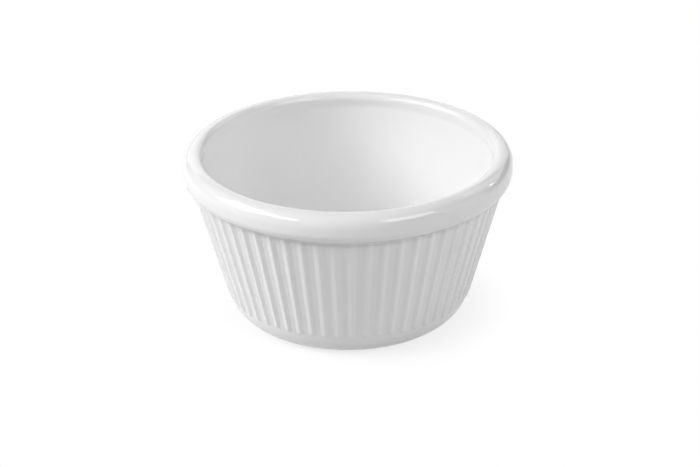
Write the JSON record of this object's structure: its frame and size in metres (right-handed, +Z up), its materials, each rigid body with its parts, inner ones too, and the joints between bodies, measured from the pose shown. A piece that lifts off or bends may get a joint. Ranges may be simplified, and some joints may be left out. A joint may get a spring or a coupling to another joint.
{
  "type": "ramekin",
  "caption": "Small round white baking and serving dish with a tapered ribbed wall, a rolled rim, a plain curved heel and a foot ring to stand on.",
  "frame": {"origin": "middle of the plane that the foot ring stands on", "axes": "+Z up along the dish's axis, out of its mouth; +X through the middle of a rib"},
  "size_m": [0.086, 0.086, 0.045],
  "materials": {
    "white_glaze": "clear gloss glaze over a white body, wiped off the foot ring"
  },
  "bodies": {
    "root": {"ramekin_dish": "white_glaze"}
  },
  "joints": []
}
